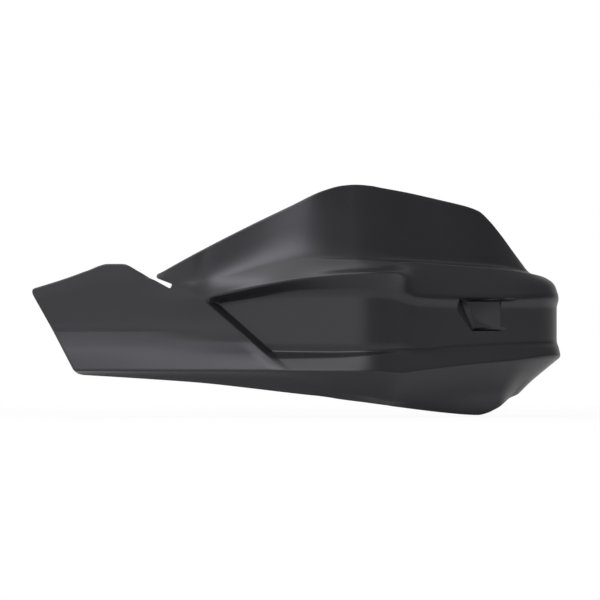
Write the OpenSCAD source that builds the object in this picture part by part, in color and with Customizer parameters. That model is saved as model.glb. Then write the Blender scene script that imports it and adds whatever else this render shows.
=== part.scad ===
// Hand guard for a motorcycle, rider's left side: one moulded shell with three
// brass threaded inserts on its hidden side.
// +X is outboard, -Y is forward (the side that meets the wind), +Z is up.
// The origin is the mouth of the outer insert.

/* [Plan line] */
// Length of the inner leg along the shell, from the knee to the flap's tip
inner_len = 187; // [150:1:220]
// Length of the outer leg along the shell, from the knee to the end wrap
outer_len = 108; // [97:1:126]
// How far the middle of the bend lies inboard of the knee's datum
knee_at = 8; // [4:0.5:12]
// Angle that the inner leg sweeps back from the bar
inner_sweep = 12; // [4:1:20]
// Angle that the outer leg sweeps back from the bar
outer_sweep = 40; // [30:1:50]
// Length over which the panel turns at the knee
knee_len = 30; // [20:1:50]
// Length over which the wind deflector turns at the knee
knee_len_top = 90; // [60:1:120]
// Length of the wrap round the bar end
wrap_len = 39; // [36:1:56]
// Angle that the wrap turns through
wrap_turn = 48; // [30:1:55]

/* [Section] */
// Thickness of the moulded wall
wall = 2.8; // [2:0.1:3.6]
// Height of the flat panel between its upper and lower foot
panel_h = 26; // [20:1:32]
// Height of the rim above the panel, up to the ledge
rim_h = 16; // [12:1:20]
// Height of the wind deflector above the ledge, at its peak
deflector_h = 41; // [25:1:60]
// How far the deflector's peak lies behind its root
deflector_lean = 9; // [4:1:16]
// Depth of the ledge at the deflector's root, behind the panel
ledge_set = 13; // [9:1:17]
// How far the brow stands out over the pocket's floor
pocket_depth = 7; // [5:0.5:8]
// Height of the small wall under the panel
lip_h = 5; // [4:0.5:7]
// Height of the bright band between the lip and the crease
band_h = 8.5; // [6:0.5:11]
// How far the crease stands out in front of the panel
crease_out = 8; // [5:0.5:10]
// Height of the skirt below the crease at its deepest point
skirt_h = 24; // [18:1:30]
// Height of the flap's upper edge above the panel's middle
flap_h = 28; // [22:1:34]

/* [Pocket with slanted end] */
// Lean of the pocket's slanted end wall, sideways per unit of height
end_lean = 1.17; // [0.8:0.01:1.3]
// Width of the slanted end wall
end_wall_w = 6; // [5:0.5:10]

/* [Trapezoid recess] */
// Distance from the start of the end wrap to the recess's inner end
recess_at = 58; // [54:1:62]
// Length of the recess along its upper side
recess_len = 40; // [34:1:44]
// Distance of the recess's upper side below the panel's upper foot
recess_under = 2; // [1.5:0.5:4]
// Distance of the recess's lower side above the panel's lower foot
recess_over = 6.5; // [5:0.5:9]
// How far the slanted side of the recess leans
recess_slant = 11.5; // [8:0.5:13]
// Depth of the recess's floor at its slanted side
recess_depth = 1.8; // [1.2:0.1:2.4]
// Depth of the hollow along the slanted side
hollow_depth = 3.6; // [3:0.1:4]
// Width of the hollow at the top, with the bevel that faces the knee
hollow_w = 7; // [5.4:0.2:8]
// Width of the hollow at the bottom
hollow_w_low = 3.4; // [3:0.2:5]

/* [Slot under the deflector's tip] */
// Width of the slot at its closed end
slot_w = 2.6; // [2.2:0.1:3.2]
// Angle at which the flap's edge and the slot run down, outboard
slot_angle = 29; // [27:0.5:31]
// Length of the slot, from the notch under the tip to its closed end
slot_len = 7.8; // [7:0.2:10]
// Angle between the two sides of the slot, which narrows towards its mouth
slot_taper = 7.5; // [6:0.5:9]

/* [Bosses and inserts] */
// Outer diameter of a screw boss
boss_d = 13; // [12:0.5:16]
// Length of a boss behind the shell, on its axis
boss_len = 17; // [15:0.5:22]
// Distance of the outer boss from the start of the end wrap
outer_boss = 36; // [30:1:42]
// Distance of the middle boss from the knee's datum, along the inner leg
middle_boss = 34; // [30:1:42]
// Distance of the inner boss from the knee's datum, along the inner leg
inner_boss = 122; // [112:1:130]
// Height of the bosses above the panel's middle
boss_z = 0; // [-2:0.5:3]
// Outer diameter of the threaded inserts
insert_d = 8; // [7:0.1:9]
// Length of the threaded inserts
insert_len = 10; // [8:0.5:12]
// Diameter of the thread's bore in the inserts
insert_bore = 5; // [4:0.1:6]
// Gap between an insert and its hole, all round
insert_gap = 0.05; // [0.02:0.01:0.1]
// Room behind each insert for the end of its screw
screw_room = 3; // [1:0.5:4]

/* [Ribs] */
// Thickness of the ribs
rib_t = 2; // [1.6:0.1:2.6]
// Depth of the long rib behind the panel
rib_depth = 8; // [6:0.5:11]
// Distance that the long rib runs on inboard of the middle boss
rib_in = 32; // [26:1:38]
// Distance that the long rib runs on outboard of the outer boss
rib_out = 20; // [14:1:26]

/* [Hidden] */
black = [0.16, 0.165, 0.175];
brass = [0.78, 0.62, 0.32];

// Heights of the section's guide lines, from the middle of the panel
z_up = panel_h / 2;
z_low = -panel_h / 2;
z_ledge = z_up + rim_h;
z_lip = z_low - lip_h;
z_crease = z_lip - band_h;
z_skirt = z_crease - skirt_h;
z_peak = z_ledge + deflector_h;
// Where the sections start, at the flap's tip
tip = -1.02;
// Half length of the blocks that cut through the wall
reach = 60;

function ramp(x) = x <= 0 ? 0 : x >= 1 ? 1 : x * x * (3 - 2 * x);
function mix(a, b, t) = a + (b - a) * t;
function total(v, i = 0) = i == len(v) - 1 ? v[i] : v[i] + total(v, i + 1);
function unit(v) = v / max(norm(v), 1e-6);

// A curve through the points [u, value], without overshoot
function seg(tab, u, k = 0) =
    k >= len(tab) - 2 || u < tab[k + 1][0] ? k : seg(tab, u, k + 1);
function secant(tab, k) = (tab[k + 1][1] - tab[k][1]) / (tab[k + 1][0] - tab[k][0]);
function tangent(tab, k) =
    k <= 0 ? secant(tab, 0) :
    k >= len(tab) - 1 ? secant(tab, len(tab) - 2) :
    let (a = secant(tab, k - 1), b = secant(tab, k)) a * b <= 0 ? 0 : 2 * a * b / (a + b);
function curve(tab, u) =
    let (k = seg(tab, u), h = tab[k + 1][0] - tab[k][0],
         t = min(1, max(0, (u - tab[k][0]) / h)), t2 = t * t, t3 = t2 * t)
    (2 * t3 - 3 * t2 + 1) * tab[k][1] + (t3 - 2 * t2 + t) * h * tangent(tab, k)
    + (3 * t2 - 2 * t3) * tab[k + 1][1] + (t3 - t2) * h * tangent(tab, k + 1);

// The plan line is drawn by its heading, which turns at the knee and in the wrap.
// s is the length along it from the knee's datum, u is -1 at the tip and 1 at the wrap.
function along(u) = u < 0 ? u * inner_len : u * outer_len;
function station(s) = s < 0 ? s / inner_len : s / outer_len;
turn = inner_sweep + outer_sweep;
function heading(s) = -inner_sweep + turn * ramp((s + knee_at) / knee_len + 0.5)
    + wrap_turn * ramp((s - outer_len) / wrap_len);
function forward(a) = [cos(a), sin(a)];
function walk(s, n = 40) = s / n * total([for (k = [0.5:1:n]) forward(heading(k * s / n))]);
// Positions along the plan line in even steps, and the place between two of them
step = 2;
s_from = -inner_len - 60;
s_to = outer_len + wrap_len + 60;
trail = [for (k = [0:(s_to - s_from) / step]) walk(s_from + k * step)];
function spot(s) = let (x = (s - s_from) / step, k = floor(x)) mix(trail[k], trail[k + 1], x - k);
// The deflector's own line rounds the knee over a greater length
function wide(s) = total([for (k = [-4:4]) spot(s + k * knee_len_top / 9)]) / 9;
// It joins the plan line again on the outer leg
own_from = 15;
own_len = 45;
function own(s) = 1 - ramp((s - own_from) / own_len);
// Angle of the plane in which each section is drawn: it turns over a greater length
// than the plan line does, so that neighbouring sections never cross
twist_len = 140;
twist_lead = 60;
function plane(s) = -inner_sweep + turn * ramp((s + knee_at + twist_lead) / twist_len)
    + wrap_turn * 0.7 * ramp((s - outer_len + 15) / (wrap_len + 30));

// Outline of the upper edge: the flap, the notch, then the deflector
notch = -0.664;
z_notch = flap_h - 8.2;
z_back = z_peak - 3;
upper_edge = [
    [tip, z_up + 2.5], [-0.92, flap_h - 6.7], [-0.86, flap_h - 2.7], [-0.8, flap_h + 0.9],
    [-0.76, flap_h + 0.9], [-0.715, flap_h - 3], [-0.678, z_notch + 1.5], [-0.671, z_notch + 1],
    [-0.665, z_notch + 3.6], [-0.65, z_notch + 5.1], [-0.6, mix(z_notch, z_back, 0.22)], [-0.5, mix(z_notch, z_back, 0.435)],
    [-0.3, mix(z_notch, z_back, 0.83)], [-0.2, z_back], [-0.13, z_peak - 0.3], [-0.08, z_peak + 0.2],
    [0.05, z_peak - 1.3], [0.35, z_peak - 4.9], [0.64, z_peak - 9.5], [0.775, z_peak - 13.1],
    [0.84, z_peak - 17.8], [0.915, z_peak - 24.8], [1.02, z_ledge + 6], [1.08, z_ledge + 0.8],
    [1.16, z_ledge - 4.9], [1.45, z_ledge - 8.5]];
// Outline of the lower edge
lower_edge = [
    [tip, z_crease - 2.3], [-0.75, z_crease - 6.3], [-0.53, z_crease - 13.1], [-0.43, z_crease - 14.5],
    [-0.32, z_crease - 15.6], [-0.2, z_crease - 16.6], [-0.1, z_crease - 17.4], [0, z_crease - 18.3],
    [0.2, z_skirt + 3.8], [0.45, z_skirt + 1.8], [0.62, z_skirt + 0.8], [0.7, z_skirt + 0.6],
    [0.78, z_skirt + 1.6], [0.86, z_skirt + 3.8], [0.95, z_skirt + 6.2], [1.15, z_skirt + 10],
    [1.45, z_skirt + 13]];
// Height above which the sections stand upright, and their lean below it: it starts at
// the tip and fades out at the knee
upright = [[tip, z_up + 3], [-0.8, z_up - 4], [1.45, z_up - 4]];
lean = [
    [tip, 0.56], [-0.75, 0.85], [-0.53, end_lean], [-0.47, 0.92 * end_lean], [-0.4, 0.9],
    [-0.2, 0.44], [-0.05, 0.11], [0, 0.03], [0.05, 0], [1.45, 0]];

// Sections along the shell, each as [u, distances in front of the plan line, heights],
// through twelve lines: upper edge, deflector's root, ledge, brow, nose of the rim,
// panel's head, panel's foot, groove, lip, crease, fold of the skirt, lower edge.
// The heights leave out the two edges, which the outlines give.
fl = 2 - pocket_depth;
le = -ledge_set;
de = le - deflector_lean;
cr = crease_out - 3;
u_end = -0.53;
u_floor = u_end + end_wall_w / inner_len;
sections = [
    [tip, [0, 0.3, 0.1, 0, -0.3, -0.5, 0.8, 2.2, 3.7, cr + 1.5, 2.5, -0.5],
        [z_up - 2.5, z_up - 5, z_up - 8, z_up - 11.5, -4.5, z_low + 4, z_low - 0.5, z_lip,
         z_crease, z_crease - 1]],
    [-0.75, [0.2, 0.5, 0.2, -0.1, -0.4, -0.6, 0.8, 2.3, 3.8, cr + 1.7, 2.2, -1.5],
        [z_up + 8, z_up + 3.5, z_up - 1, z_up - 6, -4, z_low + 4, z_low - 1, z_lip - 0.5,
         z_crease, z_crease - 2]],
    [-0.57, [-3, -0.8, 0.4, 1, 0.8, 0.2, 1.2, 2.5, 3.7, cr + 1.5, 0.5, -4],
        [z_up + 8, z_up + 4, z_up - 0.7, z_up - 4.5, -1, z_low + 3, z_low - 1.5, z_lip - 1,
         z_crease, z_crease - 4]],
    [u_end, [-5, -2, 0, 1.3, 1, 0.4, 1, 2, 3, cr + 1.3, -0.5, -5],
        [z_up + 11, z_up + 4, z_up - 2, z_up - 4.2, 1, z_low + 3, z_low - 2, z_lip - 1.5,
         z_crease, z_crease - 5]],
    [u_floor, [-6, -3, 0, 1.6, fl + 1.4, fl, fl + 0.4, fl - 0.2, 1.8, cr + 1, -1.5, -6],
        [z_up + 12, z_up + 5, z_up - 0.7, z_up - 3.7, z_up - 5.4, z_low + 0.5, z_low - 3.5,
         z_lip - 2, z_crease, z_crease - 6]],
    [-0.25, [le - 4, le + 4, -3, 2, fl + 1, fl, fl + 0.6, fl - 0.2, -0.4, cr, -3, -8],
        [z_ledge + 7, z_ledge - 2, z_ledge - 7.5, z_up + 2, z_up - 0.5, z_low, z_low - 3.8,
         z_lip - 1.5, z_crease, z_crease - 9]],
    [-0.1, [de, le + 1, -6, 2, fl + 1, fl, fl + 0.6, fl, -1.2, cr - 1.5, -4, -10],
        [z_ledge + 6, z_ledge - 1.3, z_ledge - 5, z_up + 2.5, z_up - 0.5, z_low, z_low - 3.5,
         z_lip - 0.5, z_crease, z_crease - 12]],
    [0.03, [de, le, le + 4.5, -0.8, fl + 1.6, fl + 0.8, fl + 1, fl + 0.6, -2.4, cr - 2.5, -5, -10],
        [z_ledge + 3, z_ledge + 0.4, z_ledge - 4.5, z_up + 1, z_up - 2, z_low, z_low - 2.8,
         z_lip + 0.5, z_crease - 1, z_crease - 14]],
    [0.2, [de, le, le + 4.5, -5.5, -1.6, -3, -2.8, -2.8, -2, cr - 2.5, -5.5, -9],
        [z_ledge + 1.7, z_ledge + 0.8, z_ledge - 6, z_up - 1.5, z_up - 5, z_low - 0.5,
         z_low - 2.5, z_lip, z_crease + 0.5, z_crease - 14]],
    [0.5, [de, le, le + 4.5, -5.5, -1.2, -2.5, -2.5, -2.5, -1.6, cr - 3, -7, -9],
        [z_ledge + 0.3, z_ledge - 0.6, z_ledge - 7.5, z_up - 2, z_up - 6, z_low + 0.6,
         z_low - 0.8, z_low - 2.8, z_crease + 3, z_crease - 13]],
    [0.85, [le - 5, le, le + 4.5, -5, -1.1, -2.5, -2.5, -2.4, -1.6, cr - 4, -11, -14],
        [z_ledge - 1.6, z_ledge - 2.5, z_ledge - 9, z_up - 2, z_up - 6, z_low + 1,
         z_low, z_low - 2, z_crease + 5, z_crease - 10]],
    [1.12, [le - 3.5, le, le + 5, -3.5, -1, -2.5, -2.5, -2.2, -1.4, 0, -17, -25],
        [z_ledge - 5.2, z_ledge - 6, z_ledge - 9.2, z_up - 1.5, z_up - 6, z_low + 1.4,
         z_low, z_low - 1.5, z_crease + 7, z_crease - 6.5]],
    [1.45, [le - 3, le, le + 5, -3.5, -0.8, -2, -2, -1.8, -1.2, 0, -15, -21],
        [z_ledge - 9.2, z_ledge - 10, z_ledge - 12.5, z_up - 2.5, z_up - 6.5, z_low + 2,
         z_low + 0.5, z_low - 1, z_crease + 7, z_crease - 5]]];
n_lines = len(sections[0][1]);
line_f = [for (j = [0:n_lines - 1]) [for (q = sections) [q[0], q[1][j]]]];
line_z = concat([upper_edge],
    [for (j = [0:n_lines - 3]) [for (q = sections) [q[0], q[2][j]]]],
    [lower_edge]);

// Rounding at each line between the edges, as [u, length cut back from the line]
soft = 30;
rounding = [
    [[-1, soft], [-0.42, soft], [-0.1, 9], [0.06, 3], [0.3, 1.6], [1.45, 1.6]],
    [[-1, soft], [-0.42, soft], [-0.1, 8], [0.04, 1.8], [0.2, 1], [1.45, 1.2]],
    [[-1, soft], [-0.62, soft], [-0.56, 1], [0, 0.9], [0.2, 3], [1.45, 3]],
    [[-1, soft], [-0.57, soft], [-0.51, 1.2], [0.05, 1.5], [0.2, 3.5], [1.45, 3]],
    [[-1, soft], [-0.57, soft], [-0.51, 1.5], [0.2, 1.5], [1.45, 1.5]],
    [[-1, soft], [-0.57, soft], [-0.51, 0.8], [0.2, 1.2], [1.45, 1.5]],
    [[-1, soft], [-0.57, soft], [-0.51, 1], [0.2, 1], [1.45, 1]],
    [[-1, soft], [-0.57, soft], [-0.51, 0.8], [0.2, 1.2], [1.45, 1.5]],
    [[-1, 0.8], [0.1, 0.8], [1.45, 1.8]],
    [[-1, 0.8], [-0.2, 6], [0.3, 3], [1.45, 4]]];
// Pieces in the arc of each rounding
arcs = [3, 3, 3, 2, 2, 2, 2, 2, 2, 3];

// Share of the deflector's own, wider turn at the knee in each line
own_turn = [1, 0.7, 0.4, 0, 0, 0, 0, 0, 0, 0, 0, 0.3];

// Where the sections are drawn: closer together at the notch, the end wall and the knee
stations = [
    for (x = [0, 0.3, 1.1, 3]) tip + x / inner_len,
    for (u = [-0.97:0.05:-0.71]) u,
    for (u = [-0.69, -0.678, -0.671, -0.665, -0.65, -0.625, -0.6, -0.57, -0.545, -0.531]) u,
    for (k = [1:4]) mix(u_end, u_floor, k / 4),
    for (u = [-0.47, -0.43, -0.38, -0.32, -0.26, -0.2]) u,
    for (u = [-0.15:0.03:0.01]) u,
    for (u = [0.03:0.024:0.2]) u,
    for (u = [0.25:0.075:0.56]) u,
    for (u = [0.62:0.045:1.05]) u,
    for (u = [1.1:0.05:1.41]) u];

// How far the flap's two corners are rounded off at u
corner = 3;
function drop(u) = let (d = max(0, corner - (u - tip) * inner_len)) corner - sqrt(corner * corner - d * d);
// Points of the section at u, on the front face, as [f, z], kept in order between the edges
function guides(u) = let (
        top = curve(upper_edge, u) - drop(u), low = curve(lower_edge, u) + 0.6 * drop(u))
    [for (j = [0:n_lines - 1]) [curve(line_f[j], u),
        max(low + 0.3 * (n_lines - 1 - j), min(top - 0.3 * j, curve(line_z[j], u)))]];
// The same points moved back by t, with mitred corners
function set_back(g, t) = [for (j = [0:len(g) - 1]) let (
        a = unit(g[j] - g[max(0, j - 1)]), b = unit(g[min(len(g) - 1, j + 1)] - g[j]),
        d1 = j == 0 ? b : a, d2 = j == len(g) - 1 ? a : b,
        n1 = [d1[1], -d1[0]], n2 = [d2[1], -d2[0]])
    g[j] + t * (n1 + n2) / (1 + n1 * n2)];
// Rounds the corners of the section's line
function rounded(g, u) = concat([g[0]],
    [for (j = [1:len(g) - 2]) let (
        p = g[j], r = curve(rounding[j - 1], u), la = norm(g[j - 1] - p), lb = norm(g[j + 1] - p),
        a = p + (g[j - 1] - p) * min(r / la, 0.47), b = p + (g[j + 1] - p) * min(r / lb, 0.47))
        for (t = [0:arcs[j - 1]]) let (v = t / arcs[j - 1])
            (1 - v) * (1 - v) * a + 2 * v * (1 - v) * p + v * v * b],
    [g[len(g) - 1]]);
turn_share = concat([own_turn[0]],
    [for (j = [1:n_lines - 2]) for (t = [0:arcs[j - 1]]) own_turn[j]],
    [own_turn[n_lines - 1]]);

// Places the section's points in space
function ahead(s) = let (w = plane(s)) [sin(w), -cos(w)];
function place(p, s, share) =
    concat(mix(spot(s), wide(s), share * own(s)) + p[0] * ahead(s), [p[1]]);
function placed(g, u) = let (s = along(u), l = curve(lean, u), w = curve(upright, u))
    [for (k = [0:len(g) - 1]) place(g[k], s + l * max(0, w - g[k][1]), turn_share[k])];
function wall_at(u) = let (s = along(u)) wall / max(0.6, cos(heading(s) - plane(s)));

n_s = len(stations);
front = [for (u = stations) placed(rounded(guides(u), u), u)];
back = [for (u = stations) placed(rounded(set_back(guides(u), wall_at(u)), u), u)];
n_p = len(front[0]);

// The moulded wall: a front and a back face through the sections, closed at all four edges
module skin() {
    o = n_s * n_p;
    e = n_p - 1;
    l = (n_s - 1) * n_p;
    function at(i, j) = i * n_p + j;
    function quad(a, b, c, d) = [[a, c, b], [a, d, c]];
    grid = [for (i = [0:n_s - 2]) for (j = [0:n_p - 2])
        [at(i, j), at(i, j + 1), at(i + 1, j + 1), at(i + 1, j)]];
    polyhedron(
        concat([for (r = front) each r], [for (r = back) each r]),
        concat(
            [for (g = grid) each quad(g[0], g[1], g[2], g[3])],
            [for (g = grid) each quad(o + g[0], o + g[3], o + g[2], o + g[1])],
            [for (i = [0:n_s - 2]) each quad(at(i, 0), at(i + 1, 0), o + at(i + 1, 0), o + at(i, 0))],
            [for (i = [0:n_s - 2]) each quad(at(i, e), o + at(i, e), o + at(i + 1, e), at(i + 1, e))],
            [for (j = [0:n_p - 2]) each quad(j, o + j, o + j + 1, j + 1)],
            [for (j = [0:n_p - 2]) each quad(l + j, l + j + 1, o + l + j + 1, o + l + j)]),
        convexity = 8);
}

// Point of the wall's middle at length s, at the panel's height, in plan
function panel_f(s) = curve(line_f[5], station(s));
function mid_wall(s, back = 0) = spot(s) + (panel_f(s) - wall / 2 - back) * ahead(s);

// Everything behind the wall's middle at length s
module behind(s) {
    translate([mid_wall(s)[0], mid_wall(s)[1], 0]) rotate([0, 0, heading(s)])
        translate([-reach, 0, -reach]) cube(2 * reach);
}
s_outer = outer_len - outer_boss;
s_middle = -middle_boss;
s_inner = -inner_boss;
// Mouth of the boss at length s
function mouth(s) = [mid_wall(s)[0], mid_wall(s)[1] + wall / 2 + boss_len, boss_z];

// Gussets above and below a boss, which run from its mouth's rim to the panel's feet
module gussets(m) {
    top = boss_d / 2 + 0.5;
    foot = m[1] - boss_len;
    translate([m[0] - rib_t / 2, 0, 0]) rotate([90, 0, 90]) linear_extrude(rib_t)
        polygon([
            [m[1] - 5, m[2] - top], [m[1] - 5, m[2] + top], [foot, z_up - 1], [foot - boss_len, z_up - 1],
            [foot - boss_len, z_low + 1], [foot, z_low + 1]]);
}
module boss(s) {
    m = mouth(s);
    intersection() {
        union() {
            translate(m) rotate([90, 0, 0]) cylinder(d = boss_d, h = boss_len * 2, $fn = 64);
            gussets(m);
        }
        behind(s);
    }
}
// Hole that seats an insert, and the room behind it for the end of the screw
module insert_hole(s) {
    translate(mouth(s)) rotate([90, 0, 0]) {
        translate([0, 0, -1]) cylinder(d = insert_d + 2 * insert_gap, h = insert_len + 1, $fn = 64);
        cylinder(d = insert_bore + 1, h = insert_len + screw_room, $fn = 48);
    }
}
// The long rib that ties the bosses together behind the panel, tapered at both ends
module long_rib() {
    run = [for (s = [s_middle - rib_in:6:s_outer + rib_out]) s];
    function depth(k) = rib_depth * min(1, 0.3 + 0.35 * min(k, len(run) - 1 - k));
    translate([0, 0, boss_z - rib_t / 2]) linear_extrude(rib_t)
        polygon(concat(
            [for (s = run) mid_wall(s)],
            [for (k = [len(run) - 1:-1:0]) mid_wall(run[k], depth(k))]));
}
// Trapezoid recess: drafted upper and lower walls, a floor that rises to the panel's
// face at its outer side, and a hollow along its slanted side
s_recess = outer_len - recess_at;
recess_tilt = atan(recess_depth / (recess_len - 6));
recess_draft = 1.3;
recess_top = z_up - recess_under;
recess_low = z_low + recess_over;
module recess_plan(grow = 0, draft = 0) {
    offset(delta = grow) polygon([
        [draft, recess_top - draft], [recess_len, recess_top - draft],
        [recess_len - 5, recess_low + draft], [recess_slant + draft, recess_low + draft]]);
}
module recess_place() {
    p = spot(s_recess) + panel_f(s_recess) * ahead(s_recess);
    translate([p[0], p[1], 0]) rotate([0, 0, heading(s_recess) - recess_tilt]) children();
}
// Cross-section of the hollow: a steep wall, a flat bottom and a bevel
module hollow(z, w, grow = 0) {
    d = min(hollow_depth, 0.55 * w);
    translate([recess_slant * (recess_top - z) / (recess_top - recess_low), 0, z])
        linear_extrude(0.01) offset(delta = grow)
        polygon([[0, -2], [0.3, d], [max(0.6, w - 1.1 * d), d], [w, recess_depth * 0.5], [w, -2]]);
}
module recess_cut() {
    recess_place() {
        rotate([90, 0, 0]) hull() {
            linear_extrude(3) recess_plan();
            translate([0, 0, -recess_depth]) linear_extrude(0.01) recess_plan(0, recess_draft);
        }
        hull() {
            hollow(recess_top - 0.8, hollow_w);
            hollow(recess_low + 0.8, hollow_w_low);
        }
    }
}
// Backing behind the recess, which keeps the wall at about its full thickness
module recess_back() {
    t = wall * 0.8;
    intersection() {
        recess_place() {
            translate([0, recess_depth + t, 0]) rotate([90, 0, 0]) linear_extrude(8) recess_plan(t);
            hull() {
                hollow(recess_top + t * 0.6, hollow_w, t);
                hollow(recess_low - t * 0.6, hollow_w_low, t);
            }
        }
        behind(s_recess + 10);
    }
}
// Slot from the notch under the deflector's tip: its lower side goes on along the flap's
// edge, its upper side rounds the tip and meets the deflector's upper edge
slot_round = 0.8;
tip_round = 1.4;
tip_rise = 32;
module slot_plan() {
    apex = [-slot_len * 0.34, slot_w - slot_len * 1.34 * tan(slot_taper)];
    offset(r = slot_round) offset(delta = -slot_round) offset(r = -tip_round) offset(delta = tip_round)
        polygon([
            [-5, 0], [slot_len, 0], [slot_len, slot_w], apex,
            apex + 6 * forward(slot_angle + tip_rise), [-5, 6]]);
}
module slot_cut() {
    translate([spot(along(notch))[0], 0, z_notch]) rotate([90, slot_angle, 0])
        linear_extrude(2 * reach, center = true) slot_plan();
}

module shell() {
    color(black) home() difference() {
        union() {
            skin();
            boss(s_outer);
            boss(s_middle);
            boss(s_inner);
            long_rib();
            recess_back();
        }
        insert_hole(s_outer);
        insert_hole(s_middle);
        insert_hole(s_inner);
        recess_cut();
        slot_cut();
    }
}
// The frame's origin is the mouth of the outer insert
module home() { translate(-mouth(s_outer)) children(); }

// Threaded insert: a straight bore, two gripping bands and a groove between them
module insert(s) {
    r = insert_d / 2;
    band = insert_len * 0.4;
    groove = 0.5;
    color(brass) home() translate(mouth(s)) rotate([90, 0, 0]) rotate_extrude($fn = 64)
        polygon([
            [insert_bore / 2, 0], [r - 0.3, 0], [r, 0.3], [r, band], [r - groove, band + groove],
            [r - groove, insert_len - band - groove], [r, insert_len - band], [r, insert_len - 0.8],
            [r - 0.6, insert_len], [insert_bore / 2, insert_len]]);
}
module insert_outer() { insert(s_outer); }
module insert_middle() { insert(s_middle); }
module insert_inner() { insert(s_inner); }

shell();
insert_outer();
insert_middle();
insert_inner();
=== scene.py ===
# %% [markdown]
# # A moulded hand guard for a motorcycle
# The guard is one sheet of black plastic, moulded to shape, that stands in front of the
# rider's left hand. Three brass inserts sit in bosses on its hidden side and take screws.
# The lesson builds the sheet as a loft, because every line of its section changes along
# the guard. It then cuts the recess and the slot, adds what stands on the hidden side,
# turns the inserts, and ends with the two finishes and the light.

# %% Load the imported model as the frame
import math

import bmesh
import bpy
import numpy as np
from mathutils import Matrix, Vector


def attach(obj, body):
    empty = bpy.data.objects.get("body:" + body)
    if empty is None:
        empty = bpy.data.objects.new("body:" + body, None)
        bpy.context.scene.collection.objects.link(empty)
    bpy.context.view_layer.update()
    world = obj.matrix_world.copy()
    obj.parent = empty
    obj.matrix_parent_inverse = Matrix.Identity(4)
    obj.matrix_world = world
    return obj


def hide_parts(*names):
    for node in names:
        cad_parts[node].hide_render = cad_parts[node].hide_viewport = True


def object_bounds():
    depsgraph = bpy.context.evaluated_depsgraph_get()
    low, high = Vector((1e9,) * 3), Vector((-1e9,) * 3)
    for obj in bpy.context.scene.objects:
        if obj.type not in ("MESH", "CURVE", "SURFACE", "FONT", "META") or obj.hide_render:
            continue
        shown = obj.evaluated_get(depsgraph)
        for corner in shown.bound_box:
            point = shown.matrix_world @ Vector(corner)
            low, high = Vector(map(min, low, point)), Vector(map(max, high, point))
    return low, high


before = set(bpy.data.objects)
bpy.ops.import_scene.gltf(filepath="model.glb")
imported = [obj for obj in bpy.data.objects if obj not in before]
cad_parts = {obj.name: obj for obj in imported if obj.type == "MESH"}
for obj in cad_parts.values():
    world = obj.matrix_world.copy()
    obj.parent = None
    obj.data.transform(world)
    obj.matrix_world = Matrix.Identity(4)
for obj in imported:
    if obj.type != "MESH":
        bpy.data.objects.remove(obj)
cad_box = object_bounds()
MM = 0.001
print("frame:", sorted(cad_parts), "box in mm:", [[round(v / MM, 1) for v in c] for c in cad_box])

# %% [markdown]
# ## The view
# The guard was photographed almost square on, from 6 degrees towards its inner end and
# with the lens level. A long lens from far away keeps the outlines as flat as they look
# there: the near knee and the far bar end differ by about 1% in scale.

# %% Set the camera
VIEW_TURN = math.radians(6)
VIEW_DISTANCE = 10.0
VIEW_WIDTH = 0.312
SENSOR = 36.0

low, high = (Vector(c) for c in cad_box)
middle = (low + high) / 2
look = Vector((math.sin(VIEW_TURN), math.cos(VIEW_TURN), 0))
lens = bpy.data.cameras.new("camera")
lens.sensor_width = SENSOR
lens.lens = SENSOR * VIEW_DISTANCE / VIEW_WIDTH
lens.clip_end = 60
camera = bpy.data.objects.new("camera", lens)
camera.location = middle - look * VIEW_DISTANCE
camera.rotation_euler = look.to_track_quat("-Z", "Y").to_euler()
bpy.context.collection.objects.link(camera)
bpy.context.scene.camera = camera
print("camera at", [round(v, 3) for v in camera.location], "lens", round(lens.lens), "mm")

# %% [markdown]
# ## The plan line
# Seen from above, the guard follows one line. It is drawn by its heading: the heading
# starts at the inner leg's sweep, turns at the knee, and turns again in the wrap round
# the bar end. `s` is the length along the line in millimetres, 0 at the knee, and `u`
# is the share of each leg: -1 near the inner tip, 1 where the wrap starts.

# %% Draw the plan line by its heading
INNER_LEN, OUTER_LEN = 187, 108
KNEE_AT, KNEE_LEN, KNEE_LEN_TOP = 8, 30, 90
INNER_SWEEP, OUTER_SWEEP = 12, 40
WRAP_LEN, WRAP_TURN = 39, 48
TURN = INNER_SWEEP + OUTER_SWEEP
WIDE_SAMPLES = 9
OWN_UNTIL, OWN_FADE = 15, 45
AHEAD_LEAD, AHEAD_LEN, WRAP_LEAD, WRAP_SHARE = 60, 140, 15, 0.7
TRAIL_STEP, TRAIL_MARGIN = 0.25, 60


def ramp(x):
    """Goes from 0 to 1 with level ends."""
    x = np.clip(x, 0, 1)
    return x * x * (3 - 2 * x)


def mix(a, b, t):
    return a + (b - a) * t


def along(u):
    """Length along the plan line at the share u of each leg."""
    return np.where(u < 0, u * INNER_LEN, u * OUTER_LEN)


def station(s):
    """Share of each leg at the length s along the plan line."""
    return np.where(s < 0, s / INNER_LEN, s / OUTER_LEN)


def heading(s):
    """Angle of the plan line at s, in radians."""
    knee = TURN * ramp((s + KNEE_AT) / KNEE_LEN + 0.5)
    return np.radians(-INNER_SWEEP + knee + WRAP_TURN * ramp((s - OUTER_LEN) / WRAP_LEN))


trail_s = np.arange(-INNER_LEN - TRAIL_MARGIN, OUTER_LEN + WRAP_LEN + TRAIL_MARGIN, TRAIL_STEP)
trail_turn = heading(trail_s)
trail = np.cumsum(np.stack([np.cos(trail_turn), np.sin(trail_turn)], axis=1), axis=0) * TRAIL_STEP
trail -= trail[np.argmin(np.abs(trail_s))]


def spot(s):
    """Point of the plan line at s."""
    return np.stack([np.interp(s, trail_s, trail[:, k]) for k in (0, 1)], axis=-1)


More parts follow.
